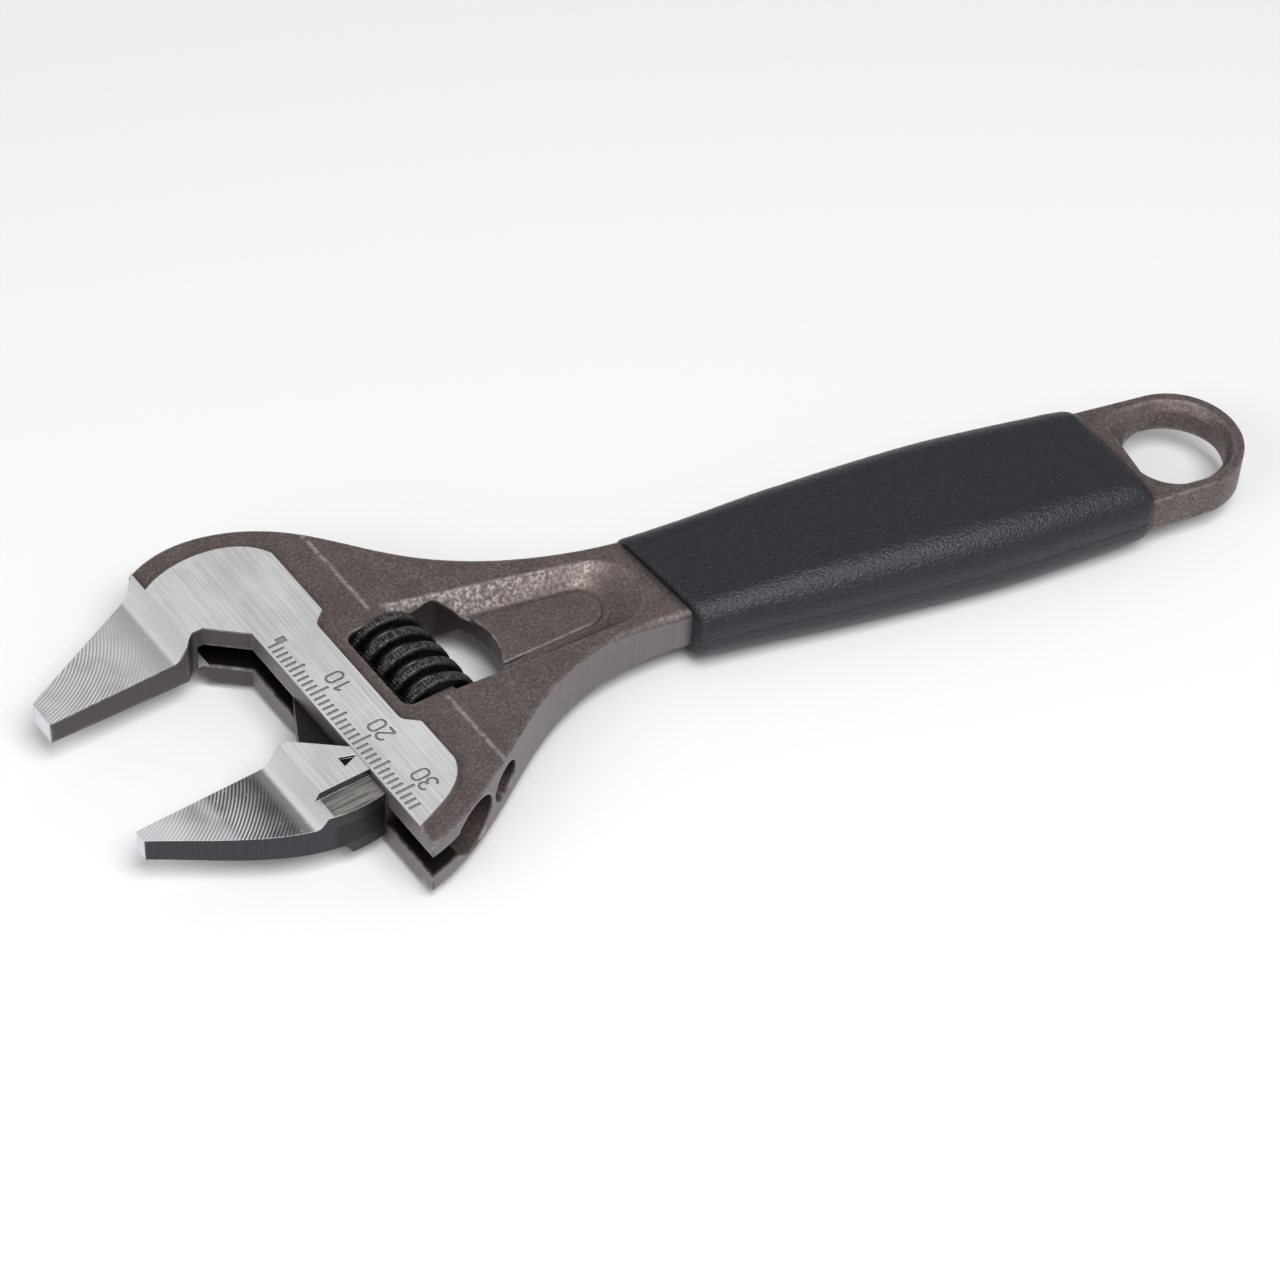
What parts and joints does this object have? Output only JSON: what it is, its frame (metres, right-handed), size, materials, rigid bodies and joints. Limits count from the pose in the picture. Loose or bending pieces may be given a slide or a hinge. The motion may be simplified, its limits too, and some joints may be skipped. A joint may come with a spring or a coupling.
{
  "type": "adjustable wrench",
  "caption": "Open-ended adjustable wrench with a sliding jaw driven by a thumb worm, thin tapered jaws, an engraved opening scale, a moulded grip and a hanging eye.",
  "frame": {"origin": "centre of the hanging hole, on the mid-plane of the wrench", "axes": "+X along the handle towards the jaws, +Y towards the movable jaw's side, +Z out of the face that carries the scale"},
  "size_m": [0.1712, 0.0617, 0.0124],
  "materials": {
    "forged_steel": "phosphated forging with ground faces on the head",
    "machined_steel": "ground and milled steel",
    "blackened_steel": "black oxide, knurled",
    "pin_steel": "turned steel",
    "spring_steel": "drawn wire",
    "grip": "black moulded thermoplastic with leather grain"
  },
  "bodies": {
    "handle": {"forged_body": "forged_steel", "worm_pin": "pin_steel", "worm_spring": "spring_steel", "grip_sleeve": "grip"},
    "jaw": {"movable_jaw": "machined_steel"},
    "worm": {"adjusting_worm": "blackened_steel"}
  },
  "joints": [
    {"name": "jaw_slide", "type": "slide", "parent": "handle", "child": "jaw", "axis": [-0.2113, 0.9774, 0], "range_m": [-0.0215, 0.0104]},
    {"name": "worm_turn", "type": "hinge", "parent": "handle", "child": "worm", "pos_m": [0.11408, 0.00175, 0], "axis": [-0.2113, 0.9774, 0], "range_deg": [-2430, 1180]}
  ],
  "couplings": [
    {"joint": "worm_turn", "follows": "jaw_slide", "rad_per_m": 1963.5}
  ]
}
